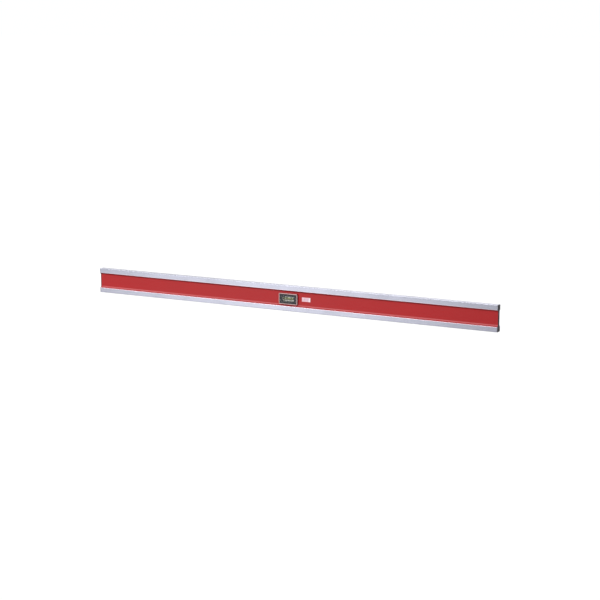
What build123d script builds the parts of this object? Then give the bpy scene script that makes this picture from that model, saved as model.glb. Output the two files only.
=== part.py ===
# An I-beam spirit level, one metre long.
# A hollow aluminium extrusion carries one level vial in a housing let through its web.
# The channels on both sides of the web are painted, and the flanges are machined bare.
#
# Frame: +X along the beam, +Z up, the side with the label faces -Y.
# The origin is under the middle of the beam, on its lower working face. Millimetres.

from build123d import *
import os

# ---------------------------------------------------------------- driving dimensions

# Beam
length = 1000.0
height = 57.0
width = 14.0
wall = 1.6                # wall of the extrusion
flange_face = 11.0        # height of each bare flange edge
web = 5.4                 # web over both coats of paint
root_radius = 4.0         # between the web and the flanges
corner_radius = 0.8       # long outer corners
lip_radius = 0.4          # flange edge beside the channel
paint = 0.2               # coat in the channels

# End plugs
plate_thick = 0.6         # plate over the sawn end
plate_inset = 0.15        # plate inside the outside of the beam
plate_overhang = 0.8      # plate beyond the painted web
plate_edge = 0.15         # chamfer round it
plug_depth = 14.0
plug_skin = 1.3
plug_fit = 0.1            # clearance to the walls of the beam

# Vial housing
vial_x = 7.5              # middle of the housing, along the beam
vial_drop = 1.5           # middle of the housing, below the middle of the beam
face_length = 46.0        # outline of the rim and the bezel
face_height = 24.0
face_radius = 2.5
rim_overlap = 2.0         # rim beyond the body that passes through the web
housing_wall = 1.3
window_fit = 0.2          # clearance of that body in the web
shelf = 0.8               # plate around the view opening
lens_thick = 0.8
lens_wall = 1.5           # rim around the lens
lens_fit = 0.1
bezel_thick = 0.5
bezel_lap = 0.5           # bezel over the edge of the lens
bezel_below_flange = 0.2  # bezel behind the plane of the flange faces
view_length = 29.0
view_height = 9.6

# Housing screws
screw_radius = 0.95
screw_clearance = 0.1
head_radius = 1.7
head_height = 1.1
head_room = 0.15
boss_radius = 2.1
boss_inset = 0.6          # boss axis inside the corner of the cavity, less its radius
insert_radius = 1.5
insert_length = 3.5

# Vial
vial_radius = 4.3
vial_length = 27.0
bore_radius = 3.1         # at the middle of the barrel-shaped bore
bore_sag = 0.2            # the bore is narrower by this at the ends of the tube
stopper_depth = 3.0
stopper_fit = 0.05
stub_radius = 1.2
stub_length = 1.3
liquid_gap = 0.05
bubble_length = 8.0
bubble_width = 4.0
bubble_height = 2.0
bubble_gap = 0.1
ring_width = 0.5
ring_thick = 0.12
ring_gap = 0.02
inner_ring_span = 8.6     # the bubble lies between these when the beam is level
outer_ring_span = 12.0

# Vial carrier and its adjustment
carrier_thick = 4.0
carrier_gap = 0.2
spine_height = 1.2
spine_gap = 0.5           # under the tube
block_end_gap = 0.5       # end block inside the housing's end wall
block_rise = 2.4          # above the axis of the tube
block_drop = 4.2          # below it, beside the screw bosses
riser = 1.9
pin_radius = 0.75
pin_fit = 0.05
pivot_inset = 2.4         # pivot from the inner end wall of the housing
pivot_boss_radius = 1.8
cam_throw = 1.0
cam_pin_radius = 0.8
cam_pin_fit = 0.08
cam_slot_room = 0.6
journal_radius = 2.0
journal_fit = 0.03
cam_boss_radius = 3.0
cam_head_radius = 2.3
cam_head_thick = 0.6
driver_slot = 0.6
driver_slot_depth = 0.35

# Label
label_x = 51.0
label_length = 21.0
label_height = 9.3
label_radius = 0.8
label_thick = 0.15

# ---------------------------------------------------------------- derived sizes

mid = height / 2
sawn_length = length - 2 * plate_thick
vial_z = mid - vial_drop
opening = height - 2 * flange_face      # mouth of each side channel
metal_web = web / 2 - paint             # half of the bare web
web_face = web / 2                      # painted face of the web, from the middle plane

bezel_front_plane = width / 2 - bezel_below_flange
lens_outer = bezel_front_plane - bezel_thick
shelf_outer = lens_outer - lens_thick
shelf_inner = shelf_outer - shelf

body_length = face_length - 2 * rim_overlap
body_height = face_height - 2 * rim_overlap
body_radius = face_radius - window_fit
cavity_length = body_length - 2 * housing_wall
cavity_height = body_height - 2 * housing_wall
boss_x = cavity_length / 2 - boss_radius + boss_inset
boss_z = cavity_height / 2 - boss_radius + boss_inset

pivot_x = cavity_length / 2 - pivot_inset
block_start = vial_length / 2 + carrier_gap
end_block = cavity_length / 2 - block_end_gap - block_start
boss_start = carrier_thick / 2 + carrier_gap      # pivot and cam bosses, from the middle plane
cam_pin_x = pivot_x - cam_throw
spine_top = -(vial_radius + spine_gap)
bore_half = vial_length / 2 - stopper_depth

# The housing is drawn on planes that face out of either side of the beam,
# and the vial on a plane that looks along it.
centre = (vial_x, 0, vial_z)
front = Plane(origin=centre, x_dir=(1, 0, 0), z_dir=(0, -1, 0))
back = Plane(origin=centre, x_dir=(1, 0, 0), z_dir=(0, 1, 0))
along = Plane(origin=centre, x_dir=(0, 1, 0), z_dir=(1, 0, 0))
vial_axis = Axis(centre, (1, 0, 0))


# ---------------------------------------------------------------- beam and paint


def channel(floor, reach, mouth, radius):
    """Section of the open channel on one side of the web."""
    with BuildSketch() as profile:
        with Locations((floor, mid)):
            Rectangle(reach - floor, mouth, align=(Align.MIN, Align.CENTER))
        fillet(profile.vertices().group_by(Axis.X)[0], radius)
    return profile.sketch


def i_section(inset, floor, mouth):
    """An I-shaped section, inset from the outside of the beam, with a channel on each side."""
    half = width / 2 - inset
    with BuildSketch() as outline:
        with Locations((0, mid)):
            Rectangle(2 * half, height - 2 * inset)
        fillet(outline.vertices(), corner_radius)
        side = channel(floor, width, mouth, root_radius)
        add(side, mode=Mode.SUBTRACT)
        add(side.mirror(Plane.YZ), mode=Mode.SUBTRACT)
        lips = [
            v
            for v in outline.vertices()
            if abs(abs(v.X) - half) < lip_radius / 4 and abs(v.Y - mid) < (mouth + lip_radius) / 2
        ]
        fillet(lips, lip_radius)
    return outline.sketch


beam_outline = i_section(0, metal_web, opening)


def housing_window():
    """The cut that lets the vial housing through the web."""
    with BuildPart() as cut:
        with BuildSketch(front):
            RectangleRounded(
                body_length + 2 * window_fit, body_height + 2 * window_fit, body_radius + window_fit
            )
        extrude(amount=width, both=True)
    return cut.part


window = housing_window()

with BuildPart() as beam:
    with BuildSketch(Plane.YZ) as section:
        add(beam_outline)
        offset(amount=-wall, kind=Kind.INTERSECTION, mode=Mode.SUBTRACT)
    extrude(amount=sawn_length / 2, both=True)
    add(window, mode=Mode.SUBTRACT)


def paint_coat(side):
    """The coat in one channel: side is 1 for +Y and -1 for -Y."""
    coat_face = width / 2 - lip_radius
    with BuildPart() as coat:
        with BuildSketch(Plane.YZ):
            bare = channel(metal_web, coat_face, opening, root_radius)
            painted = channel(web_face, width, opening - 2 * paint, root_radius - paint)
            if side < 0:
                bare = bare.mirror(Plane.YZ)
                painted = painted.mirror(Plane.YZ)
            add(bare)
            add(painted, mode=Mode.SUBTRACT)
        extrude(amount=sawn_length / 2, both=True)
        add(window, mode=Mode.SUBTRACT)
    return coat


paint_front = paint_coat(-1)
paint_back = paint_coat(1)


# ---------------------------------------------------------------- end plugs


def end_plug(side):
    """The plug of one end: side is 1 for +X and -1 for -X.

    A thin plate covers the sawn end, and the body inside the walls is hollow towards the beam.
    """
    # this plane's own y runs up at the +X end and down at the -X end
    sawn_end = Plane(origin=(side * sawn_length / 2, 0, 0), x_dir=(0, 1, 0), z_dir=(side, 0, 0))
    plate = i_section(plate_inset, web_face + plate_overhang, opening - 2 * paint)
    body = offset(beam_outline, amount=-(wall + plug_fit), kind=Kind.INTERSECTION)
    if side < 0:
        plate, body = plate.mirror(Plane.XZ), body.mirror(Plane.XZ)
    pocket_width = width - 2 * (wall + plug_fit + plug_skin)
    pocket_height = flange_face - 2 * (wall + plug_fit + plug_skin)
    with BuildPart() as plug:
        with BuildSketch(sawn_end):
            add(plate)
        extrude(amount=plate_thick)
        outer_face = plug.faces().filter_by(Axis.X).sort_by(Axis(sawn_end.origin, sawn_end.z_dir))[-1]
        chamfer(outer_face.outer_wire().edges(), plate_edge)
        with BuildSketch(sawn_end):
            add(body)
        extrude(amount=-plug_depth)
        with BuildSketch(sawn_end.offset(-plug_depth)):
            with Locations((0, side * flange_face / 2), (0, side * (height - flange_face / 2))):
                Rectangle(pocket_width, pocket_height)
        extrude(amount=plug_depth - plug_skin, mode=Mode.SUBTRACT)
    return plug


end_plug_left = end_plug(-1)
end_plug_right = end_plug(1)


# ---------------------------------------------------------------- vial housing


def boss_places():
    """Axes of the four housing screws, in the housing's plane."""
    return GridLocations(2 * boss_x, 2 * boss_z, 2, 2)


def housing_shell(plane):
    """What both halves share: body, rim, lens seat, view opening, screw and pivot bosses."""
    with BuildPart() as shell:
        with BuildSketch(plane):
            RectangleRounded(body_length, body_height, body_radius)
        extrude(amount=shelf_outer)
        with BuildSketch(plane.offset(web_face)):
            RectangleRounded(face_length, face_height, face_radius)
        extrude(amount=lens_outer - web_face)
        with BuildSketch(plane):
            RectangleRounded(cavity_length, cavity_height, body_radius - housing_wall)
        extrude(amount=shelf_inner, mode=Mode.SUBTRACT)
        with BuildSketch(plane.offset(shelf_outer)):
            RectangleRounded(
                face_length - 2 * lens_wall, face_height - 2 * lens_wall, face_radius - lens_wall
            )
        extrude(amount=lens_thick, mode=Mode.SUBTRACT)
        with BuildSketch(plane.offset(shelf_inner)):
            RectangleRounded(view_length, view_height, view_height / 4)
        extrude(amount=shelf, mode=Mode.SUBTRACT)
        with BuildSketch(plane):
            with boss_places():
                Circle(boss_radius)
        extrude(amount=shelf_inner)
        with BuildSketch(plane.offset(boss_start)):
            with Locations((-pivot_x, 0)):
                Circle(pivot_boss_radius)
        extrude(amount=shelf_inner - boss_start)
        with BuildSketch(plane.offset(boss_start)):
            with Locations((-pivot_x, 0)):
                Circle(pin_radius + pin_fit / 2)
        extrude(amount=shelf_inner - boss_start, mode=Mode.SUBTRACT)
    return shell.part


with BuildPart() as housing_front:
    add(housing_shell(front))
    with BuildSketch(front):
        with boss_places():
            Circle(insert_radius)
    extrude(amount=insert_length, mode=Mode.SUBTRACT)

with BuildPart() as housing_back:
    add(housing_shell(back))
    with BuildSketch(back):
        with boss_places():
            Circle(screw_radius + screw_clearance)
    extrude(amount=shelf_outer, mode=Mode.SUBTRACT)
    with BuildSketch(back.offset(shelf_outer)):
        with boss_places():
            Circle(head_radius + screw_clearance)
    extrude(amount=-(head_height + head_room), mode=Mode.SUBTRACT)
    with BuildSketch(back.offset(boss_start)):
        with Locations((pivot_x, 0)):
            Circle(cam_boss_radius)
    extrude(amount=shelf_inner - boss_start)
    with BuildSketch(back.offset(boss_start)):
        with Locations((pivot_x, 0)):
            Circle(journal_radius + journal_fit)
    extrude(amount=shelf_outer - boss_start, mode=Mode.SUBTRACT)
    with BuildSketch(back.offset(shelf_outer)):
        with Locations((pivot_x, 0)):
            Circle(cam_head_radius + journal_fit)
    extrude(amount=-shelf, mode=Mode.SUBTRACT)


def lens_on(plane):
    """Clear cover in the seat of one half."""
    with BuildPart() as lens:
        with BuildSketch(plane.offset(shelf_outer)):
            RectangleRounded(
                face_length - 2 * (lens_wall + lens_fit),
                face_height - 2 * (lens_wall + lens_fit),
                face_radius - lens_wall,
            )
        extrude(amount=lens_thick)
    return lens


def bezel_on(plane):
    """Metal frame that holds the edge of the lens."""
    inset = lens_wall + bezel_lap
    with BuildPart() as bezel:
        with BuildSketch(plane.offset(lens_outer)):
            RectangleRounded(face_length, face_height, face_radius)
            RectangleRounded(
                face_length - 2 * inset, face_height - 2 * inset, face_radius - lens_wall, mode=Mode.SUBTRACT
            )
        extrude(amount=bezel_thick)
        outer_faces = bezel.faces().filter_by(Axis(plane.origin, plane.z_dir))
        top_face = outer_faces.sort_by(Axis(plane.origin, plane.z_dir))[-1]
        chamfer(top_face.outer_wire().edges(), bezel_thick / 3)
    return bezel


lens_front = lens_on(front)
lens_back = lens_on(back)
bezel_front = bezel_on(front)
bezel_back = bezel_on(back)

with BuildPart() as screw_inserts:
    with BuildSketch(front):
        with boss_places():
            Circle(insert_radius)
            Circle(screw_radius + screw_clearance, mode=Mode.SUBTRACT)
    extrude(amount=insert_length)

head_seat = shelf_outer - head_height - head_room

with BuildPart() as housing_screws:
    with BuildSketch(back.offset(head_seat)):
        with boss_places():
            Circle(screw_radius)
    extrude(amount=-(head_seat + insert_length))
    with BuildSketch(back.offset(head_seat)):
        with boss_places():
            Circle(head_radius)
    extrude(amount=head_height)
    with BuildSketch(back.offset(head_seat + head_height)):
        with boss_places():
            Rectangle(2 * head_radius, driver_slot / 2)
            Rectangle(driver_slot / 2, 2 * head_radius)
    extrude(amount=-driver_slot_depth, mode=Mode.SUBTRACT)


# ---------------------------------------------------------------- vial


def bore_profile(gap, half):
    """Half section of the barrel-shaped bore, drawn gap inside it and half long each way."""
    full_half = vial_length / 2
    sag_here = bore_sag * (half / full_half) ** 2
    with BuildSketch(front) as profile:
        with BuildLine():
            Polyline(
                (-half, bore_radius - sag_here - gap), (-half, 0), (half, 0), (half, bore_radius - sag_here - gap)
            )
            ThreePointArc(
                (half, bore_radius - sag_here - gap),
                (0, bore_radius - gap),
                (-half, bore_radius - sag_here - gap),
            )
        make_face()
    return profile.sketch


with BuildPart() as vial_tube:
    with BuildSketch(along):
        Circle(vial_radius)
    extrude(amount=vial_length / 2, both=True)
    chamfer(vial_tube.edges().filter_by(GeomType.CIRCLE), bore_sag)
    revolve(bore_profile(0, vial_length / 2), axis=vial_axis, mode=Mode.SUBTRACT)

bubble_middle = bore_radius - bore_sag - bubble_height / 2
liquid_level = bubble_middle - bubble_height / 2 - 2 * bubble_gap

with BuildPart() as vial_liquid:
    revolve(bore_profile(liquid_gap, bore_half - liquid_gap), axis=vial_axis)
    split(bisect_by=Plane(origin=(vial_x, 0, vial_z + liquid_level), z_dir=(0, 0, 1)), keep=Keep.BOTTOM)

with BuildPart() as bubble:
    with BuildSketch(front):
        Ellipse(bubble_length / 2, bubble_height / 2)
        split(bisect_by=Plane.XZ, keep=Keep.TOP)
    revolve(axis=vial_axis)
    scaled = scale(
        bubble.part.translate((-vial_x, 0, -vial_z)), by=(1, bubble_width / bubble_height, 1), mode=Mode.PRIVATE
    )
    add(scaled.translate((vial_x, 0, vial_z + bubble_middle)), mode=Mode.REPLACE)

with BuildPart() as vial_stoppers:
    for end in (-1, 1):
        outer = Plane(origin=(vial_x + end * vial_length / 2, 0, vial_z), x_dir=(0, 1, 0), z_dir=(end, 0, 0))
        with BuildSketch(outer):
            Circle(bore_radius - bore_sag - stopper_fit)
        extrude(amount=-stopper_depth)
        with BuildSketch(outer):
            Circle(stub_radius)
        extrude(amount=stub_length)

ring_places = [-outer_ring_span / 2, -inner_ring_span / 2, inner_ring_span / 2, outer_ring_span / 2]

with BuildPart() as vial_rings:
    for x in ring_places:
        with BuildSketch(along.offset(x - ring_width / 2)):
            Circle(vial_radius + ring_gap + ring_thick)
            Circle(vial_radius + ring_gap, mode=Mode.SUBTRACT)
        extrude(amount=ring_width)


# ---------------------------------------------------------------- carrier, pivot and cam

with BuildPart() as vial_carrier:
    with BuildSketch(front):
        with Locations((0, spine_top)):
            Rectangle(2 * (block_start + riser), spine_height, align=(Align.CENTER, Align.MAX))
        for end in (Align.MAX, Align.MIN):
            start = -block_start if end == Align.MAX else block_start
            with Locations((start, -block_drop)):
                Rectangle(end_block, block_drop + block_rise, align=(end, Align.MIN))
            with Locations((start, spine_top - spine_height)):
                Rectangle(riser, spine_height - spine_top + block_rise, align=(end, Align.MIN))
    extrude(amount=carrier_thick / 2, both=True)
    # open seats for the stubs of the stoppers
    for end in (-1, 1):
        seat = Plane(origin=(vial_x + end * block_start, 0, vial_z), x_dir=(0, 1, 0), z_dir=(end, 0, 0))
        seat_radius = stub_radius + stopper_fit
        with BuildSketch(seat):
            Circle(seat_radius)
            with Locations((0, end * block_rise / 2)):
                Rectangle(2 * seat_radius, block_rise)
        extrude(amount=stub_length, mode=Mode.SUBTRACT)
    # pivot hole, and the slot that the cam's pin moves
    with BuildSketch(front):
        with Locations((-pivot_x, 0)):
            Circle(pin_radius + pin_fit)
    extrude(amount=carrier_thick, both=True, mode=Mode.SUBTRACT)
    with BuildSketch(front):
        with Locations((cam_pin_x + cam_throw / 8, 0)):
            Rectangle(2 * cam_pin_radius + cam_slot_room, 2 * (cam_pin_radius + cam_pin_fit))
    extrude(amount=carrier_thick, both=True, mode=Mode.SUBTRACT)

with BuildPart() as pivot_pin:
    with BuildSketch(front):
        with Locations((-pivot_x, 0)):
            Circle(pin_radius)
    extrude(amount=shelf_inner - pin_fit, both=True)

with BuildPart() as calibration_cam:
    with BuildSketch(back.offset(boss_start)):
        with Locations((pivot_x, 0)):
            Circle(journal_radius)
    extrude(amount=shelf_inner - boss_start)
    with BuildSketch(back.offset(shelf_inner)):
        with Locations((pivot_x, 0)):
            Circle(cam_head_radius)
    extrude(amount=cam_head_thick)
    with BuildSketch(back.offset(shelf_inner + cam_head_thick)):
        with Locations((pivot_x, 0)):
            Rectangle(2 * cam_head_radius, driver_slot)
    extrude(amount=-driver_slot_depth, mode=Mode.SUBTRACT)
    with BuildSketch(back.offset(boss_start)):
        with Locations((cam_pin_x, 0)):
            Circle(cam_pin_radius)
    extrude(amount=-(boss_start + carrier_thick / 2))


# ---------------------------------------------------------------- label

with BuildPart() as size_label:
    label_plane = Plane(origin=(label_x, -web_face, mid), x_dir=(1, 0, 0), z_dir=(0, -1, 0))
    with BuildSketch(label_plane):
        RectangleRounded(label_length, label_height, label_radius)
    extrude(amount=label_thick)


# ---------------------------------------------------------------- export

pieces = {
    "beam": beam,
    "paint_front": paint_front,
    "paint_back": paint_back,
    "end_plug_left": end_plug_left,
    "end_plug_right": end_plug_right,
    "housing_front": housing_front,
    "housing_back": housing_back,
    "lens_front": lens_front,
    "lens_back": lens_back,
    "bezel_front": bezel_front,
    "bezel_back": bezel_back,
    "housing_screws": housing_screws,
    "screw_inserts": screw_inserts,
    "vial_tube": vial_tube,
    "vial_liquid": vial_liquid,
    "vial_stoppers": vial_stoppers,
    "vial_rings": vial_rings,
    "bubble": bubble,
    "vial_carrier": vial_carrier,
    "pivot_pin": pivot_pin,
    "calibration_cam": calibration_cam,
    "size_label": size_label,
}

os.makedirs("parts", exist_ok=True)
for name, piece in pieces.items():
    piece.part.label = name
    export_step(piece.part, f"parts/{name}.step")
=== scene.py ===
import math

import bmesh
import bpy
from bpy.props import FloatProperty, FloatVectorProperty, PointerProperty
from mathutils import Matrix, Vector


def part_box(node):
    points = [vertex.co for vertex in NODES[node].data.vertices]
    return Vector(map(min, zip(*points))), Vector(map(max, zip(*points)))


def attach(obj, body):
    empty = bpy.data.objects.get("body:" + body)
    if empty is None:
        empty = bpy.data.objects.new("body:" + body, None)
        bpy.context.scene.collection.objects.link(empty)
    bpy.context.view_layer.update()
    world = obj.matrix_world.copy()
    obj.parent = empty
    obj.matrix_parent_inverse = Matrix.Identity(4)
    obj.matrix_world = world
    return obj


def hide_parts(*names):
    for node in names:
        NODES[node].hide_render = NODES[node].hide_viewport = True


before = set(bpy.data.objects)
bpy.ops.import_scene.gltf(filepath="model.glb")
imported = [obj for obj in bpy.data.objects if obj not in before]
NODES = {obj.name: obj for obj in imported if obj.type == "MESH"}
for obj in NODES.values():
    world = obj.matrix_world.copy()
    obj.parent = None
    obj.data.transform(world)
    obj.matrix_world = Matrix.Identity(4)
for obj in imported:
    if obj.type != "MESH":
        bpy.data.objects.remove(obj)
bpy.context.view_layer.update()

bl_info = {
    "name": "Spirit Level",
    "version": (1, 0, 0),
    "blender": (4, 5, 0),
    "location": "View3D > Sidebar > Spirit Level",
    "description": "Builds the looks of an I-section spirit level around its measured frame",
    "category": "Object",
}

MM = 0.001

# Places of the object's parts, from the frame. All are in metres.
BEAM_LOW, BEAM_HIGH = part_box("beam")
RIM_LOW, RIM_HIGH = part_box("housing_front")
PAINT_LOW, PAINT_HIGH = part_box("paint_back")
TUBE_LOW, TUBE_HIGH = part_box("vial_tube")
LIQUID_LOW, LIQUID_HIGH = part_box("vial_liquid")
BUBBLE_LOW, BUBBLE_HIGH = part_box("bubble")
LABEL_LOW, LABEL_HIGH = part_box("size_label")

BEAM_MIDDLE = (BEAM_LOW + BEAM_HIGH) / 2
TUBE_MIDDLE = (TUBE_LOW + TUBE_HIGH) / 2
HALF_LENGTH = (BEAM_HIGH.x - BEAM_LOW.x) / 2
HALF_WIDTH = (BEAM_HIGH.y - BEAM_LOW.y) / 2
HALF_MOUTH = (PAINT_HIGH.z - PAINT_LOW.z) / 2
FLANGE = PAINT_LOW.z - BEAM_LOW.z
WEB_FACE = PAINT_LOW.y

SAME = MM / 100  # lengths that differ by less are taken as equal
SLIVER = MM / 500  # shorter edges are merged after a cut
OVERCUT = 1.1  # how much farther than needed a cutter reaches
OUTSIDE = HALF_WIDTH * 2  # a place clear of the beam's sides
FAR_OUTSIDE = 1.0  # a place clear of every block that is cut, in metres
SHARP = math.radians(60)  # edges that turn more than this are softened
SOFT_SHARE = 0.4  # share of a thin sheet's thickness that rounds its edges
ROOT_STEPS = 10
CORNER_STEPS = 5

# Tints that belong to one finish only.
# painted highlight on the flange lips, tinted pink as a painted reflection of the red paint
LIP_HIGHLIGHT = (0.98, 0.80, 0.88)
ROOT_HIGHLIGHT = (0.62, 0.20, 0.21)
# painted highlight along the lower root of each channel
SCUFFED_PAINT = (0.55, 0.16, 0.16)
DUSTY_PAINT = (0.62, 0.35, 0.34)
HAIRLINE = (0.8, 0.8, 0.8)
GASKET = (0.02, 0.02, 0.02)
BUBBLE_BODY = (0.96, 0.98, 0.92)
# painted glow of the bubble
BUBBLE_GLOW = (0.9, 0.92, 0.85)
NO_GLOW = (0, 0, 0)
BLANK_PAPER = (0.92, 0.84, 0.88)
FLOOR_TINTS = (0.20, 0.20, 0.20), (0.21, 0.21, 0.21)

# Each strip lamp: its name, its place and the setting that holds its power.
LAMPS = (
    ("soft_key", Vector((-0.45, -0.9, 0.75)), "key"),
    ("soft_fill", Vector((0.30, 1.1, 0.80)), "fill"),
)
LAMP_LENGTH, LAMP_HEIGHT = 2.2, 0.4


# ---------------------------------------------------------------- settings


def length(name, description, default):
    """A length that the user can change."""
    return FloatProperty(name=name, description=description, default=default, unit="LENGTH")


def angle(name, description, degrees):
    """An angle that the user can change."""
    default = math.radians(degrees)
    return FloatProperty(name=name, description=description, default=default, subtype="ANGLE")


def strength(name, description, default):
    """A plain number that the user can change and that isn't negative."""
    return FloatProperty(name=name, description=description, default=default, min=0)


def colour(name, description, default):
    """A colour that the user can change."""
    return FloatVectorProperty(
        name=name, description=description, default=default, subtype="COLOR", size=3, min=0, max=1
    )


class LevelSizes(bpy.types.PropertyGroup):
    """Sizes of the shapes that are modelled here and that the frame doesn't give."""

    wall: length("Wall", "Wall of the extrusion", 1.6 * MM)
    corner: length("Corner", "Radius of the long outer corners", 0.8 * MM)
    lip: length("Lip", "Radius between a flange edge and its channel", 0.4 * MM)
    root: length("Root", "Radius between the web and the flanges", 4.0 * MM)
    coat: length("Coat", "Thickness of the paint", 0.2 * MM)
    deburr: length("Deburr", "Chamfer round the sawn ends", 0.15 * MM)
    rim_margin: length("Rim margin", "Housing's rim beyond its opening in the web", 1.8 * MM)
    cover_corner: length("Cover corner", "Corner radius of the clear covers", 1.0 * MM)
    cover_air: length("Cover air", "Air between a cover and the housing behind it", 0.03 * MM)
    sticker_corner: length("Sticker corner", "Corner radius of the sticker", 0.8 * MM)
    barrel: length("Barrel", "How much narrower the bore is at its ends", 0.12 * MM)
    liquid_edge: length("Liquid edge", "Radius round the ends of the liquid", 0.35 * MM)


class LevelColours(bpy.types.PropertyGroup):
    """Colours of the finishes."""

    aluminium: colour("Aluminium", "Bare machined flanges", (0.50, 0.502, 0.58))
    paint: colour("Paint", "Paint in the channels", (0.40, 0.006, 0.008))
    plug: colour("Plug", "Moulded end plugs", (0.030, 0.024, 0.030))
    housing: colour("Housing", "Moulded vial housing", (0.022, 0.022, 0.026))
    cover: colour("Cover", "Clear covers of the window", (0.16, 0.16, 0.16))
    bezel: colour("Bezel", "Metal frame of the window", (0.80, 0.52, 0.51))
    tube: colour("Tube", "Clear tube of the vial", (0.62, 0.64, 0.46))
    liquid: colour("Liquid", "Liquid in the vial", (0.54, 0.60, 0.18))
    stopper: colour("Stopper", "Rubber stoppers of the vial", (0.03, 0.03, 0.03))
    ring: colour("Ring", "Marking rings on the vial", (0.012, 0.012, 0.012))
    carrier: colour("Carrier", "Frame that holds the vial", (0.70, 0.68, 0.58))
    steel: colour("Steel", "Plated screws and pin", (0.56, 0.56, 0.58))
    brass: colour("Brass", "Turned inserts and eccentric", (0.62, 0.43, 0.18))
    sticker: colour("Sticker", "Paper of the sticker", (0.82, 0.52, 0.58))
    print_tint: colour("Print", "Plain printed field on the sticker", (0.46, 0.38, 0.50))


class StudioSettings(bpy.types.PropertyGroup):
    """Camera, light and floor."""

    azimuth: angle("Azimuth", "Camera's turn round the beam", 28.69)
    elevation: angle("Elevation", "Camera's height as an angle", 10.30)
    distance: length("Distance", "Camera to the point it aims at", 3.344)
    aim_along: length("Aim along", "Aim point, along the beam from its middle", 34.1 * MM)
    aim_height: length("Aim height", "Aim point, above the lower face", 26.2 * MM)
    lens: strength("Lens", "Focal length in millimetres", 91.22)
    sky: strength("Sky", "Strength of the surrounding light", 1.0)
    zenith: strength("Zenith", "How much darker it is overhead", 0.35)
    nadir: strength("Nadir", "Light from straight below", 0.36)
    ground: strength("Ground", "How much lighter it is just below the horizon", 0.08)
    patch: strength("Patch", "Soft patch that the flanges mirror", 1.8)
    patch_turn: angle("Patch turn", "Azimuth of that patch", 29.8)
    patch_radius: angle("Patch radius", "Angle from that patch's middle to its edge", 9)
    key: strength("Key", "Power of the front lamp in watts", 13.5)
    fill: strength("Fill", "Power of the back lamp in watts", 9.0)
    floor_size: length("Floor size", "Side of the floor", 120)
    floor_drop: length("Floor drop", "Gap between the beam and the floor", 0.1 * MM)


# ---------------------------------------------------------------- modelling helpers


def use_only(piece):
    """Makes a piece the only selected one, and active."""
    if bpy.context.mode != "OBJECT":
        bpy.ops.object.mode_set(mode="OBJECT")
    bpy.ops.object.select_all(action="DESELECT")
    piece.select_set(True)
    bpy.context.view_layer.objects.active = piece


def settle(piece):
    """Puts the piece's place, turn and size into its mesh."""
    use_only(piece)
    bpy.ops.object.transform_apply(location=True, rotation=True, scale=True)


def add_block(name, low, high):
    """A block between two corners."""
    low, high = Vector(low), Vector(high)
    bpy.ops.object.select_all(action="DESELECT")
    bpy.ops.mesh.primitive_cube_add(size=1, location=(low + high) / 2)
    piece = bpy.context.object
    piece.name = name
    piece.scale = high - low
    settle(piece)
    return piece


def select_edges(piece, wanted):
    """Opens the piece for editing with only the wanted edges selected."""
    use_only(piece)
    bpy.ops.object.mode_set(mode="EDIT")
    bpy.ops.mesh.select_mode(type="EDGE")
    bpy.ops.mesh.select_all(action="DESELECT")
    shape = bmesh.from_edit_mesh(piece.data)
    for edge in shape.edges:
        edge.select_set(bool(wanted(edge)))
    bmesh.update_edit_mesh(piece.data)


def round_edges(piece, radius, steps, wanted):
    """Rounds the wanted edges."""
    select_edges(piece, wanted)
    bpy.ops.mesh.bevel(
        offset=radius, offset_type="OFFSET", segments=steps, affect="EDGES", clamp_overlap=True
    )
    bpy.ops.object.mode_set(mode="OBJECT")


def cut_away(piece, cutter):
    """Cuts one piece with another, and removes the cutter."""
    use_only(piece)
    cut = piece.modifiers.new("cut", "BOOLEAN")
    cut.object = cutter
    cut.operation = "DIFFERENCE"
    cut.solver = "EXACT"
    bpy.ops.object.modifier_apply(modifier=cut.name)
    bpy.data.objects.remove(cutter)


def tidy_mesh(piece):
    """Merges doubles and drops the slivers that a cut can leave."""
    use_only(piece)
    bpy.ops.object.mode_set(mode="EDIT")
    bpy.ops.mesh.select_mode(type="VERT")
    bpy.ops.mesh.select_all(action="SELECT")
    bpy.ops.mesh.remove_doubles(threshold=SLIVER)
    bpy.ops.mesh.dissolve_degenerate(threshold=SLIVER)
    bpy.ops.mesh.select_all(action="DESELECT")
    bpy.ops.object.mode_set(mode="OBJECT")


def smooth(piece, angle=35):
    """Smooth shading over small angles, with the large flats kept flat."""
    use_only(piece)
    bpy.ops.object.shade_smooth_by_angle(angle=math.radians(angle))
    even = piece.modifiers.new("even", "WEIGHTED_NORMAL")
    even.keep_sharp = True
    bpy.ops.object.modifier_apply(modifier=even.name)


def complete(piece, body, slot, material, *nodes):
    """Gives a new piece its finish and its body, and hides the nodes that it stands for."""
    piece.data.materials.clear()
    piece.data.materials.append(material)
    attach(piece, body)
    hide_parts(*nodes)


def finish_node(node, material):
    """Gives a node of the frame its finish."""
    for slot in NODES[node].material_slots:
        slot.material = material


def runs_along_x(edge):
    """Whether an edge is parallel to the beam."""
    a, b = (v.co for v in edge.verts)
    return abs(a.y - b.y) < MM / 1000 and abs(a.z - b.z) < MM / 1000 and abs(a.x - b.x) > MM


def at(value, place):
    """Whether two lengths are equal, within a hundredth of a millimetre."""
    return abs(value - place) < SAME


# ---------------------------------------------------------------- material helpers


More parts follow.
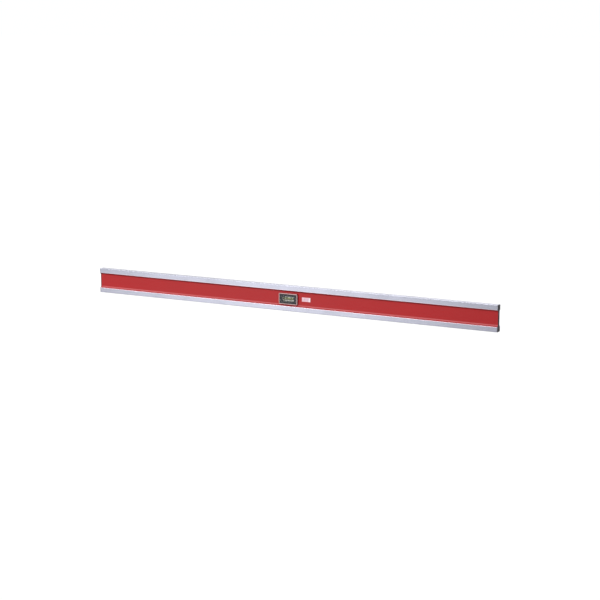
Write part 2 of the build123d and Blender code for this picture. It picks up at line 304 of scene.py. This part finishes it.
class Wire:
    """An output of a material's tree, for use in arithmetic."""

    def __init__(self, recipe, socket):
        self.recipe = recipe
        self.socket = socket

    def _math(self, operation, first, second):
        return self.recipe.node("ShaderNodeMath", {"operation": operation}, {0: first, 1: second})

    def __add__(self, other):
        return self._math("ADD", self, other)

    __radd__ = __add__

    def __sub__(self, other):
        return self._math("SUBTRACT", self, other)

    def __rsub__(self, other):
        return self._math("SUBTRACT", other, self)

    def __mul__(self, other):
        return self._math("MULTIPLY", self, other)

    __rmul__ = __mul__

    def __truediv__(self, other):
        return self._math("DIVIDE", self, other)

    def __abs__(self):
        return self._math("ABSOLUTE", self, 0)

    def above(self, start, end):
        """0 below start, 1 above end, and smooth between them. start may be the larger one."""
        settings = {"interpolation_type": "SMOOTHSTEP"}
        low, high, at_low, at_high = (start, end, 0, 1) if start < end else (end, start, 1, 0)
        inputs = {"Value": self, 1: low, 2: high, 3: at_low, 4: at_high}
        return self.recipe.node("ShaderNodeMapRange", settings, inputs)


class Tree:
    """A node tree that is built node by node."""

    def __init__(self, owner, shader, place):
        owner.use_nodes = True
        self.owner = owner
        self.tree = owner.node_tree
        self.shader = self.tree.nodes[shader]
        self.place = self.node("ShaderNodeTexCoord", out=place)

    def node(self, kind, settings=None, inputs=None, out=0):
        """Adds a node, sets it up, fills its sockets and returns one of its outputs."""
        made = self.tree.nodes.new(kind)
        for setting, value in (settings or {}).items():
            setattr(made, setting, value)
        for key, value in (inputs or {}).items():
            if isinstance(value, Wire):
                self.tree.links.new(value.socket, made.inputs[key])
            else:
                made.inputs[key].default_value = value
        return Wire(self, made.outputs[out])

    def stretched(self, *scale):
        """Coordinates scaled along each axis."""
        return self.node("ShaderNodeMapping", None, {"Vector": self.place, "Scale": scale})

    def noise(self, scale, place=None, detail=3.0, roughness=0.5):
        """Smooth noise from 0 to 1, with about scale cells in a metre."""
        inputs = {"Vector": place or self.place, "Scale": scale}
        inputs.update({"Detail": detail, "Roughness": roughness})
        return self.node("ShaderNodeTexNoise", None, inputs)

    def axis(self, name, centre=(0, 0, 0)):
        """One coordinate, from a centre."""
        settings, inputs = {"operation": "SUBTRACT"}, {0: self.place, 1: centre}
        moved = self.node("ShaderNodeVectorMath", settings, inputs)
        return self.node("ShaderNodeSeparateXYZ", None, {0: moved}, out=name)

    def blend(self, share, first, second):
        """A colour between two colours."""
        opaque = [(*c, 1) if isinstance(c, (tuple, list)) else c for c in (first, second)]
        inputs = {0: share, 6: opaque[0], 7: opaque[1]}
        return self.node("ShaderNodeMix", {"data_type": "RGBA"}, inputs, out=2)

    def bump(self, height, distance, strength, under=None):
        """A Normal from a height from 0 to 1, with distance the metres at 1."""
        inputs = {"Height": height, "Distance": distance, "Strength": strength}
        if under:
            inputs["Normal"] = under
        return self.node("ShaderNodeBump", None, inputs)

    def finish(self, **sockets):
        """Fills the shader's sockets, whose spaces are underscores here, and returns the owner."""
        for name, value in sockets.items():
            socket = self.shader.inputs[name.replace("_", " ")]
            if isinstance(value, Wire):
                self.tree.links.new(value.socket, socket)
            elif isinstance(value, (tuple, list)) and len(value) == 3 and socket.type == "RGBA":
                socket.default_value = (*value, 1)
            else:
                socket.default_value = value
        return self.owner


class Recipe(Tree):
    """One material, built on a Principled shader in the object's own coordinates."""

    def __init__(self, name):
        super().__init__(bpy.data.materials.new(name), "Principled BSDF", "Object")


def scaled(tint, factor):
    """A colour made lighter or darker."""
    return tuple(min(1.0, c * factor) for c in tint)


# ---------------------------------------------------------------- materials


def machined_aluminium(tint):
    """Bare extrusion, milled along its length, with handling marks, nicks, lighter long outer
    corners, and a painted highlight along the lips that is tinted as a painted reflection of the
    red paint.
    """
    recipe = Recipe("machined_aluminium")
    lines = recipe.noise(60, recipe.stretched(0.25, 130, 130), detail=5, roughness=0.65)
    broad = recipe.noise(60, recipe.stretched(0.05, 12, 12), detail=3)
    hands = recipe.noise(14, detail=5, roughness=0.6)
    nicks = recipe.noise(420, recipe.stretched(0.5, 1, 1), detail=2).above(0.70, 0.78)
    outer_face_band = abs(recipe.axis("Y")).above(HALF_WIDTH - 0.5 * MM, HALF_WIDTH)
    height = abs(recipe.axis("Z", BEAM_MIDDLE))
    corner = height.above(BEAM_MIDDLE.z - 1.2 * MM, BEAM_MIDDLE.z - 0.3 * MM)
    base = recipe.blend(lines * 0.5 + broad * 0.5, scaled(tint, 0.90), scaled(tint, 1.08))
    smudged = recipe.blend(hands.above(0.45, 0.75) * 0.35, base, scaled(tint, 0.80))
    marked = recipe.blend(nicks * 0.5, smudged, scaled(tint, 0.62))
    # lighter along the long outer corners of the flanges
    bright = recipe.blend(outer_face_band * corner * 0.5, marked, scaled(tint, 1.25))
    # painted highlight along the lips, where the flanges meet the channels, tinted as a painted
    # reflection of the red paint
    lip = height.above(HALF_MOUTH + 1.6 * MM, HALF_MOUTH + 0.4 * MM)
    fine = recipe.bump(lines, 0.02 * MM, 0.5)
    return recipe.finish(
        Base_Color=recipe.blend(lip * 0.8, bright, LIP_HIGHLIGHT),
        Metallic=1.0,
        Roughness=0.15 + lines * 0.10 + hands * 0.06,
        Normal=recipe.bump(nicks * -1, 0.03 * MM, 0.6, fine),
    )


def channel_paint(tint, aluminium):
    """Baked satin paint, with painted shade on the flanges' inner faces and under the upper flange,
    a painted highlight along the lower root, and chipped at the lips.
    """
    recipe = Recipe("channel_paint")
    mottle = recipe.noise(9, recipe.stretched(0.6, 1, 1), detail=4)
    peel = recipe.noise(1500, detail=2)
    dust = recipe.noise(2600, detail=1).above(0.74, 0.80)
    depth = abs(recipe.axis("Y"))
    at_lip = depth.above(PAINT_HIGH.y - 0.7 * MM, PAINT_HIGH.y - 0.05 * MM)
    on_flange = depth.above(PAINT_HIGH.y - 3.6 * MM, PAINT_HIGH.y - 0.8 * MM)
    chip = at_lip * recipe.noise(260, detail=4, roughness=0.7).above(0.60, 0.63)
    drawn = recipe.stretched(0.06, 1, 1)
    scuff = recipe.noise(120, drawn, detail=4, roughness=0.7).above(0.66, 0.80)
    base = recipe.blend(mottle, scaled(tint, 0.90), scaled(tint, 1.10))
    # painted shade: the colour called thin is darker on the flanges' inner faces near the channel's
    # mouth
    thin = recipe.blend(on_flange * 0.55, base, scaled(tint, 0.62))
    height = recipe.axis("Z", BEAM_MIDDLE)
    # painted shade under the upper flange, where its shadow falls on the channel
    under = height.above(HALF_MOUTH - 4.0 * MM, HALF_MOUTH - 1.0 * MM)
    shaded = recipe.blend(under * 0.5, thin, scaled(tint, 0.45))
    # painted highlight along the lower root, where the concave paint faces up to the light; the
    # colour called rubbed below is this highlight
    low_root = recipe.axis("Z", BEAM_MIDDLE + Vector((0, 0, -HALF_MOUTH)))
    root = low_root.above(0.8 * MM, 2.0 * MM) * low_root.above(4.6 * MM, 3.2 * MM)
    rubbed = recipe.blend(root * 0.30, shaded, ROOT_HIGHLIGHT)
    scuffed = recipe.blend(scuff * 0.22, rubbed, SCUFFED_PAINT)
    dusty = recipe.blend(dust * 0.30, scuffed, DUSTY_PAINT)
    orange_peel = recipe.bump(peel, 0.012 * MM, 0.6)
    return recipe.finish(
        Base_Color=recipe.blend(chip, dusty, aluminium),
        Metallic=chip,
        Roughness=0.26 + mottle * 0.06 + scuff * 0.16,
        Normal=recipe.bump(chip * -1, 0.10 * MM, 0.5, orange_peel),
        Specular_IOR_Level=0.42,
    )


def moulded_plastic(name, tint, grain=1800, roughness=0.48, depth=0.02):
    """Moulded plastic with a spark-eroded grain, rubbed smoother in places."""
    recipe = Recipe(name)
    pits = recipe.noise(grain, detail=3, roughness=0.6)
    flow = recipe.noise(90, detail=3)
    rubbed = flow.above(0.55, 0.75)
    base = recipe.blend(flow, scaled(tint, 0.82), scaled(tint, 1.30))
    dusty = recipe.blend(pits.above(0.60, 0.80) * 0.20, base, scaled(tint, 2.2))
    return recipe.finish(
        Base_Color=dusty,
        Roughness=roughness + pits * 0.12 - rubbed * 0.10,
        Normal=recipe.bump(pits, depth * MM, 0.7),
    )


def clear_plastic(name, tint, alpha, roughness=0.04):
    """Clear moulded plastic with hairline scratches and a little haze."""
    recipe = Recipe(name)
    drawn = recipe.stretched(0.15, 1, 2.5)
    hairline = recipe.noise(700, drawn, detail=5, roughness=0.7).above(0.66, 0.70)
    haze = recipe.noise(120, detail=4).above(0.45, 0.80)
    return recipe.finish(
        Base_Color=recipe.blend(hairline * 0.4, tint, HAIRLINE),
        Alpha=alpha + haze * 0.03 + hairline * 0.05,
        Roughness=roughness + hairline * 0.20 + haze * 0.05,
        Normal=recipe.bump(hairline * -1, 0.004 * MM, 0.4),
        IOR=1.49,
    )


def satin_bezel(tint):
    """Pressed and satin-finished metal frame, with a black gasket line along the cover."""
    recipe = Recipe("satin_bezel")
    lines = recipe.noise(90, recipe.stretched(1, 40, 60), detail=5, roughness=0.6)
    marks = recipe.noise(300, detail=4).above(0.58, 0.74)
    middle = (RIM_LOW + RIM_HIGH) / 2
    half = (RIM_HIGH - RIM_LOW) / 2
    # from the outer edge, how far the bare metal reaches and where the black line starts
    metal, black = 1.15 * MM, 1.35 * MM
    across = abs(recipe.axis("X", middle)).above(half.x - black, half.x - metal)
    upright = abs(recipe.axis("Z", middle)).above(half.z - black, half.z - metal)
    rim = 1 - (1 - across) * (1 - upright)
    base = recipe.blend(lines, scaled(tint, 0.86), scaled(tint, 1.14))
    marked = recipe.blend(marks * 0.30, base, scaled(tint, 0.6))
    return recipe.finish(
        Base_Color=recipe.blend(rim, GASKET, marked),
        Metallic=rim * 0.4,
        Roughness=0.45 - rim * 0.15 + lines * 0.16 + marks * 0.10,
        Normal=recipe.bump(lines, 0.008 * MM, 0.5),
    )


def turned_metal(name, tint, roughness=0.30):
    """Small turned or plated fastener metal."""
    recipe = Recipe(name)
    tool = recipe.noise(2500, recipe.stretched(1, 0.2, 1), detail=3)
    tarnish = recipe.noise(500, detail=4).above(0.50, 0.75)
    return recipe.finish(
        Base_Color=recipe.blend(tarnish * 0.5, tint, scaled(tint, 0.6)),
        Metallic=1.0,
        Roughness=roughness + tool * 0.15 + tarnish * 0.12,
        Normal=recipe.bump(tool, 0.006 * MM, 0.5),
    )


def vial_liquid(tint):
    """Tinted liquid, with painted light: lighter towards the top, darker towards the bottom, and a
    painted glow that follows the same gradient.
    """
    recipe = Recipe("vial_liquid")
    height = recipe.axis("Z", TUBE_MIDDLE)
    # painted light and shade: the liquid is lighter towards the top and darker towards the bottom
    painted_top_light = height.above(-3.1 * MM, 2.4 * MM)
    swirl = recipe.noise(160, recipe.stretched(0.4, 1, 1), detail=2)
    body = recipe.blend(painted_top_light, scaled(tint, 0.62), scaled(tint, 1.25))
    return recipe.finish(
        Base_Color=recipe.blend(swirl * 0.25, body, scaled(tint, 0.85)),
        Alpha=0.24 + swirl * 0.05,
        Roughness=0.06,
        IOR=1.36,
        # painted glow: the liquid gives off light though it is no lamp
        Emission_Color=recipe.blend(painted_top_light, scaled(tint, 0.5), tint),
        Emission_Strength=0.20,
    )


def trapped_air(tint):
    """The bubble: a pale body with a painted glow, inside a painted dark rim that stands in for the
    meniscus's refraction.
    """
    recipe = Recipe("trapped_air")
    middle = (BUBBLE_LOW + BUBBLE_HIGH) / 2
    half = (BUBBLE_HIGH - BUBBLE_LOW) / 2
    along = recipe.axis("X", middle) / half.x
    up = recipe.axis("Z", middle) / half.z
    # painted shade: a dark rim round the bubble, standing in for the light that the meniscus bends
    # away
    edge = (along * along + up * up).above(0.42, 0.80)
    return recipe.finish(
        Base_Color=recipe.blend(edge, BUBBLE_BODY, scaled(tint, 0.10)),
        Alpha=0.72 + edge * 0.26,
        Roughness=0.05 + edge * 0.05,
        # painted glow: the bubble gives off light though it is no lamp
        Emission_Color=recipe.blend(edge, BUBBLE_GLOW, NO_GLOW),
        Emission_Strength=0.75,
    )


def sticker_paper(tint, print_tint):
    """Plain coated paper with a printed patch, a thin rule and a blank end, worn at its edges."""
    recipe = Recipe("sticker_paper")
    middle = (LABEL_LOW + LABEL_HIGH) / 2
    half = (LABEL_HIGH - LABEL_LOW) / 2
    side = recipe.axis("X", middle) / half.x
    up = abs(recipe.axis("Z", middle)) / half.z
    along = abs(side)
    field = along.above(0.60, 0.56) * up.above(0.56, 0.48)
    patch = abs(side + 0.35).above(0.16, 0.10) * up.above(0.40, 0.30)
    rule = abs(side - 0.50).above(0.09, 0.05) * up.above(0.80, 0.70)
    blank = side.above(0.54, 0.60)
    fibres = recipe.noise(3200, recipe.stretched(1, 1, 0.4), detail=4)
    frayed = along.above(0.93, 1) + up.above(0.85, 1)
    base = recipe.blend(fibres, scaled(tint, 0.93), scaled(tint, 1.05))
    tinted = recipe.blend(field * 0.25, base, print_tint)
    marked = recipe.blend(patch * 0.5 + rule * 0.6, tinted, print_tint)
    ended = recipe.blend(blank * 0.6, marked, BLANK_PAPER)
    return recipe.finish(
        Base_Color=recipe.blend(frayed * 0.35, ended, scaled(tint, 0.78)),
        Roughness=0.50 + fibres * 0.18,
        Normal=recipe.bump(fibres, 0.010 * MM, 0.6),
    )


def pale_floor():
    """Matt pale floor."""
    recipe = Recipe("pale_floor")
    cloud = recipe.noise(2, detail=2)
    return recipe.finish(
        Base_Color=recipe.blend(cloud, *FLOOR_TINTS),
        Roughness=0.9,
        Specular_IOR_Level=0.0,
        Emission_Color=(1.0, 1.0, 1.0),
        Emission_Strength=0.88,
    )


# ---------------------------------------------------------------- pieces


def channel_block(name, side, floor, clear, radius):
    """A block that fills one side channel from its floor outwards, with round root corners."""
    flange = FLANGE + clear
    ends = HALF_LENGTH + clear
    start, end = sorted((side * floor, side * OUTSIDE))
    low = (BEAM_MIDDLE.x - ends, start, BEAM_LOW.z + flange)
    high = (BEAM_MIDDLE.x + ends, end, BEAM_HIGH.z - flange)
    block = add_block(name, low, high)
    round_edges(
        block,
        radius,
        ROOT_STEPS,
        lambda e: runs_along_x(e) and at(e.verts[0].co.y, side * floor),
    )
    return block


def window_block(margin):
    """A block that goes through the web where the housing does."""
    low = (RIM_LOW.x + margin, -OUTSIDE, RIM_LOW.z + margin)
    high = (RIM_HIGH.x - margin, OUTSIDE, RIM_HIGH.z - margin)
    return add_block("window_cut", low, high)


def build_beam(sizes, material):
    """The hollow extrusion with its two channels, rounded corners and deburred ends."""
    beam = add_block("beam_extrusion", BEAM_LOW, BEAM_HIGH)
    round_edges(beam, sizes.corner, CORNER_STEPS, runs_along_x)
    for side in (-1, 1):
        cutter = channel_block("channel_cut", side, WEB_FACE, 0, sizes.root)
        settle_longer(cutter)
        cut_away(beam, cutter)
    round_edges(beam, sizes.lip, 4, is_lip)
    for low, high in hollow_boxes(sizes):
        cut_away(beam, add_block("hollow_cut", low, high))
    cut_away(beam, window_block(sizes.rim_margin))
    tidy_mesh(beam)
    round_edges(beam, sizes.deburr, 2, lambda e: is_at_end(e) and is_sharp(e))
    smooth(beam)
    complete(beam, "level_body", "bare_aluminium", material, "beam")


def is_lip(edge):
    """Whether an edge is where a channel meets the outer face of a flange."""
    place = edge.verts[0].co
    mouth = at(place.z, PAINT_LOW.z) or at(place.z, PAINT_HIGH.z)
    return runs_along_x(edge) and at(abs(place.y), HALF_WIDTH) and mouth


def is_at_end(edge):
    """Whether an edge lies in one of the sawn ends."""
    return any(all(at(v.co.x, x) for v in edge.verts) for x in (BEAM_LOW.x, BEAM_HIGH.x))


def is_sharp(edge):
    """Whether the two faces beside an edge turn enough for it to be softened."""
    return len(edge.link_faces) == 2 and edge.calc_face_angle() > SHARP


def settle_longer(cutter):
    """Stretches a cutter along the beam, so that it cuts clean through both ends."""
    cutter.scale.x = OVERCUT
    settle(cutter)


def hollow_boxes(sizes):
    """The three straight spaces inside the extrusion: one in each flange and one in the web."""
    reach = HALF_LENGTH * OVERCUT
    side = HALF_WIDTH - sizes.wall
    slot = WEB_FACE - sizes.wall
    for low, high in ((BEAM_LOW.z, BEAM_LOW.z + FLANGE), (BEAM_HIGH.z - FLANGE, BEAM_HIGH.z)):
        yield (-reach, -side, low + sizes.wall), (reach, side, high - sizes.wall)
    # the web's space reaches a little into the flanges' spaces, so that they join
    inner = FLANGE - sizes.wall * OVERCUT
    yield (-reach, -slot, BEAM_LOW.z + inner), (reach, slot, BEAM_HIGH.z - inner)


def build_channel_paint(sizes, material):
    """The coat that lines each channel."""
    for side, node in ((-1, "paint_front"), (1, "paint_back")):
        coat = channel_block("channel_" + node, side, WEB_FACE, 0, sizes.root)
        bare_floor, bare_root = WEB_FACE + sizes.coat, sizes.root - sizes.coat
        inside = channel_block("coat_cut", side, bare_floor, sizes.coat, bare_root)
        settle_longer(inside)
        cut_away(coat, inside)
        cut_away(coat, mouth_block(side))
        cut_away(coat, window_block(sizes.rim_margin))
        tidy_mesh(coat)
        round_edges(coat, sizes.coat * SOFT_SHARE, 2, lambda e: is_coat_edge(e, sizes.coat))
        smooth(coat)
        complete(coat, "level_body", "red_paint", material, node)


def mouth_block(side):
    """A block that takes away all that stands out of a channel's mouth."""
    reach = HALF_LENGTH * OVERCUT
    start, end = sorted((side * PAINT_HIGH.y, side * FAR_OUTSIDE))
    return add_block("lip_cut", (-reach, start, 0), (reach, end, BEAM_HIGH.z))


def is_coat_edge(edge, coat):
    """Whether an edge is where the coat's visible face ends, at the mouth of the channel."""
    place = edge.verts[0].co
    inner = at(place.z, PAINT_LOW.z + coat) or at(place.z, PAINT_HIGH.z - coat)
    return runs_along_x(edge) and at(abs(place.y), PAINT_HIGH.y) and inner


def runs_through(edge):
    """Whether an edge is parallel to the way through the web."""
    a, b = (v.co for v in edge.verts)
    return at(a.x, b.x) and at(a.z, b.z)


def build_covers(sizes, material):
    """The clear covers, each a thin layer of air away from the housing that it seats on."""
    for side in ("front", "back"):
        low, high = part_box("lens_" + side)
        if side == "front":
            high.y -= sizes.cover_air
        else:
            low.y += sizes.cover_air
        cover = add_block("window_cover_" + side, low, high)
        round_edges(cover, sizes.cover_corner, 6, runs_through)
        smooth(cover)
        complete(cover, "level_body", "clear_lens", material, "lens_" + side)


def build_sticker(sizes, material):
    """A thin sticker with rounded corners and a soft outer edge."""
    sticker = add_block("sticker", LABEL_LOW, LABEL_HIGH)
    round_edges(sticker, sizes.sticker_corner, 8, runs_through)
    soft = (LABEL_HIGH.y - LABEL_LOW.y) * SOFT_SHARE
    round_edges(sticker, soft, 3, lambda e: all(at(v.co.y, LABEL_LOW.y) for v in e.verts))
    smooth(sticker)
    complete(sticker, "level_body", "label_paper", material, "size_label")


def build_liquid(sizes, material):
    """The liquid, a barrel that fills the whole bore."""
    half = (LIQUID_HIGH.x - LIQUID_LOW.x) / 2
    radius = (LIQUID_HIGH.y - LIQUID_LOW.y) / 2
    lying = (0, math.pi / 2, 0)
    bpy.ops.object.select_all(action="DESELECT")
    bpy.ops.mesh.primitive_cylinder_add(
        vertices=72, radius=radius, depth=2 * half, location=TUBE_MIDDLE, rotation=lying
    )
    liquid = bpy.context.object
    liquid.name = "vial_filling"
    settle(liquid)
    stations = 12  # the barrel's curve is followed in this many steps
    for step in range(1, stations):
        place = TUBE_MIDDLE + Vector((half * (2 * step / stations - 1), 0, 0))
        use_only(liquid)
        bpy.ops.object.mode_set(mode="EDIT")
        bpy.ops.mesh.select_all(action="SELECT")
        bpy.ops.mesh.bisect(plane_co=place, plane_no=(1, 0, 0))
        bpy.ops.object.mode_set(mode="OBJECT")
    for vertex in liquid.data.vertices:
        away = (vertex.co.x - TUBE_MIDDLE.x) / half
        narrow = 1 - sizes.barrel * away * away / radius
        vertex.co.y = TUBE_MIDDLE.y + (vertex.co.y - TUBE_MIDDLE.y) * narrow
        vertex.co.z = TUBE_MIDDLE.z + (vertex.co.z - TUBE_MIDDLE.z) * narrow
    round_edges(liquid, sizes.liquid_edge, 4, is_sharp)
    smooth(liquid)
    complete(liquid, "vial_unit", "vial_green", material, "vial_liquid")


def build_bubble(material):
    """The bubble: long, with round ends, and flattened under the top of the bore."""
    middle = (BUBBLE_LOW + BUBBLE_HIGH) / 2
    half = (BUBBLE_HIGH - BUBBLE_LOW) / 2
    bpy.ops.object.select_all(action="DESELECT")
    bpy.ops.mesh.primitive_uv_sphere_add(segments=64, ring_count=32, radius=1, location=middle)
    bubble = bpy.context.object
    bubble.name = "air_bubble"
    bubble.rotation_euler.y = math.pi / 2
    bpy.ops.object.transform_apply(location=False, rotation=True, scale=False)
    bubble.scale = half
    settle(bubble)
    blunt, belly = 0.72, 0.75  # fuller ends than a ball's, and a shallower lower half
    for vertex in bubble.data.vertices:
        along = (vertex.co.x - middle.x) / half.x
        vertex.co.x = middle.x + half.x * math.copysign(abs(along) ** blunt, along)
        if vertex.co.z < middle.z:
            vertex.co.z = middle.z + (vertex.co.z - middle.z) * belly
    use_only(bubble)
    bpy.ops.object.shade_smooth()
    complete(bubble, "bubble_body", "air_bubble", material, "bubble")


# ---------------------------------------------------------------- operators


class LEVEL_OT_beam(bpy.types.Operator):
    """Model the bare aluminium extrusion"""

    bl_idname = "level.beam"
    bl_label = "Beam"

    def execute(self, context):
        material = machined_aluminium(tuple(context.scene.level_colours.aluminium))
        build_beam(context.scene.level_sizes, material)
        return {"FINISHED"}


class LEVEL_OT_paint(bpy.types.Operator):
    """Model the paint in both channels"""

    bl_idname = "level.paint"
    bl_label = "Channel paint"

    def execute(self, context):
        colours = context.scene.level_colours
        material = channel_paint(tuple(colours.paint), tuple(colours.aluminium))
        build_channel_paint(context.scene.level_sizes, material)
        return {"FINISHED"}


class LEVEL_OT_end_plugs(bpy.types.Operator):
    """Finish the plugs in both ends"""

    bl_idname = "level.end_plugs"
    bl_label = "End plugs"

    def execute(self, context):
        tint = tuple(context.scene.level_colours.plug)
        material = moulded_plastic("plug_plastic", tint, grain=1100)
        for node in ("end_plug_left", "end_plug_right"):
            finish_node(node, material)
        return {"FINISHED"}


class LEVEL_OT_window(bpy.types.Operator):
    """Model the clear covers, and finish the vial housing and its bezels"""

    bl_idname = "level.window"
    bl_label = "Vial window"

    def execute(self, context):
        colours = context.scene.level_colours
        tint = tuple(colours.housing)
        housing = moulded_plastic("housing_plastic", tint, grain=2600, roughness=0.40)
        cover = clear_plastic("clear_cover", tuple(colours.cover), 0.05)
        bezel = satin_bezel(tuple(colours.bezel))
        for side in ("front", "back"):
            finish_node("housing_" + side, housing)
            finish_node("bezel_" + side, bezel)
        build_covers(context.scene.level_sizes, cover)
        return {"FINISHED"}


class LEVEL_OT_vial(bpy.types.Operator):
    """Model the liquid and the bubble, and finish the tube, its stoppers and its rings"""

    bl_idname = "level.vial"
    bl_label = "Vial"

    def execute(self, context):
        colours = context.scene.level_colours
        liquid = tuple(colours.liquid)
        acrylic = clear_plastic("vial_acrylic", tuple(colours.tube), 0.08, 0.03)
        rubber = moulded_plastic("stopper_rubber", tuple(colours.stopper), roughness=0.7)
        ink = moulded_plastic("ring_ink", tuple(colours.ring), grain=4000, depth=0.005)
        finish_node("vial_tube", acrylic)
        finish_node("vial_stoppers", rubber)
        finish_node("vial_rings", ink)
        build_liquid(context.scene.level_sizes, vial_liquid(liquid))
        build_bubble(trapped_air(liquid))
        return {"FINISHED"}


class LEVEL_OT_mechanism(bpy.types.Operator):
    """Finish the carrier, its pivot and eccentric, and the housing's fasteners"""

    bl_idname = "level.mechanism"
    bl_label = "Mechanism"

    def execute(self, context):
        colours = context.scene.level_colours
        plastic = moulded_plastic("carrier_plastic", tuple(colours.carrier), roughness=0.42)
        steel = turned_metal("plated_steel", tuple(colours.steel))
        brass = turned_metal("turned_brass", tuple(colours.brass), 0.26)
        finish_node("vial_carrier", plastic)
        finish_node("pivot_pin", steel)
        finish_node("housing_screws", steel)
        finish_node("calibration_cam", brass)
        finish_node("screw_inserts", brass)
        return {"FINISHED"}


class LEVEL_OT_sticker(bpy.types.Operator):
    """Model the plain sticker beside the window"""

    bl_idname = "level.sticker"
    bl_label = "Sticker"

    def execute(self, context):
        colours = context.scene.level_colours
        material = sticker_paper(tuple(colours.sticker), tuple(colours.print_tint))
        build_sticker(context.scene.level_sizes, material)
        return {"FINISHED"}


class LEVEL_OT_studio(bpy.types.Operator):
    """Set up the floor, the light and the camera"""

    bl_idname = "level.studio"
    bl_label = "Studio"

    def execute(self, context):
        studio = context.scene.level_studio
        add_floor(studio)
        add_light(context.scene, studio)
        add_camera(context.scene, studio)
        context.scene.view_settings.view_transform = "Standard"
        return {"FINISHED"}


def add_floor(studio):
    """A wide pale floor just under the beam. It lights nothing: the surroundings do that."""
    place = (0, 0, BEAM_LOW.z - studio.floor_drop)
    bpy.ops.object.select_all(action="DESELECT")
    bpy.ops.mesh.primitive_plane_add(size=studio.floor_size, location=place)
    floor = bpy.context.object
    floor.name = "studio_floor"
    floor.data.materials.append(pale_floor())
    floor.visible_diffuse = floor.visible_glossy = floor.visible_transmission = False
    floor.visible_shadow = False


def surroundings(studio):
    """White above the horizon, and grey below it with a soft pale patch that the flanges mirror."""
    recipe = Tree(bpy.data.worlds.new("studio_surroundings"), "Background", "Generated")
    turn, drop = studio.patch_turn, studio.elevation
    patch = (-math.sin(turn) * math.cos(drop), -math.cos(turn) * math.cos(drop), -math.sin(drop))
    settings, inputs = {"operation": "DOT_PRODUCT"}, {0: recipe.place, 1: patch}
    toward = recipe.node("ShaderNodeVectorMath", settings, inputs, out=1)
    glow = toward.above(math.cos(studio.patch_radius), 1) * studio.patch
    height = recipe.axis("Z")
    white = 1.03  # enough that the slightly cool grey below still reads as white
    ground = studio.nadir + height.above(-1, 0) * studio.ground + glow
    sky = white - height.above(0.15, 0.5) * studio.zenith
    level = ground + (sky - ground) * height.above(-0.04, -0.02)
    cool = {0: level * 0.97, 1: level * 0.98, 2: level}
    grey = recipe.node("ShaderNodeCombineColor", None, cool)
    return recipe.finish(Color=grey, Strength=studio.sky)


def add_light(scene, studio):
    """The surroundings, a soft strip lamp in front on the left and a weaker one behind."""
    scene.world = surroundings(studio)
    for name, place, power in LAMPS:
        bpy.ops.object.light_add(type="AREA", location=place)
        lamp = bpy.context.object
        lamp.name = name
        lamp.data.shape = "RECTANGLE"
        lamp.data.size, lamp.data.size_y = LAMP_LENGTH, LAMP_HEIGHT
        lamp.data.energy = getattr(studio, power)
        aim = Vector((place.x, 0, BEAM_MIDDLE.z)) - place
        lamp.rotation_euler = aim.to_track_quat("-Z", "Y").to_euler()


def add_camera(scene, studio):
    """The camera, level with the horizon, on a long lens."""
    turn, rise = studio.azimuth, studio.elevation
    level = math.cos(rise)
    back = Vector((math.sin(turn) * level, -math.cos(turn) * level, math.sin(rise)))
    aim = Vector((studio.aim_along, 0, studio.aim_height))
    bpy.ops.object.camera_add(location=aim + back * studio.distance)
    camera = bpy.context.object
    camera.name = "studio_camera"
    camera.rotation_euler = (-back).to_track_quat("-Z", "Y").to_euler()
    camera.data.lens = studio.lens
    camera.data.sensor_width = 36
    camera.data.clip_end = 200
    scene.camera = camera


class LEVEL_PT_panel(bpy.types.Panel):
    """Buttons for the level's pieces"""

    bl_idname = "LEVEL_PT_panel"
    bl_label = "Spirit Level"
    bl_space_type = "VIEW_3D"
    bl_region_type = "UI"
    bl_category = "Spirit Level"

    def draw(self, context):
        scene = context.scene
        for step in STEPS:
            self.layout.operator(step.bl_idname)
        for group in (scene.level_sizes, scene.level_colours, scene.level_studio):
            box = self.layout.box()
            for name in group.__annotations__:
                box.prop(group, name)


STEPS = (
    LEVEL_OT_studio,
    LEVEL_OT_beam,
    LEVEL_OT_paint,
    LEVEL_OT_end_plugs,
    LEVEL_OT_window,
    LEVEL_OT_vial,
    LEVEL_OT_mechanism,
    LEVEL_OT_sticker,
)
GROUPS = {"level_sizes": LevelSizes, "level_colours": LevelColours, "level_studio": StudioSettings}


def register():
    for name, group in GROUPS.items():
        bpy.utils.register_class(group)
        setattr(bpy.types.Scene, name, PointerProperty(type=group))
    for made in (*STEPS, LEVEL_PT_panel):
        bpy.utils.register_class(made)


def unregister():
    for made in reversed((*STEPS, LEVEL_PT_panel)):
        bpy.utils.unregister_class(made)
    for name, group in reversed(GROUPS.items()):
        delattr(bpy.types.Scene, name)
        bpy.utils.unregister_class(group)


def main():
    """Builds everything."""
    register()
    for name in ("studio", "beam", "paint", "end_plugs", "window", "vial", "mechanism", "sticker"):
        getattr(bpy.ops.level, name)()


if __name__ == "__main__":
    main()
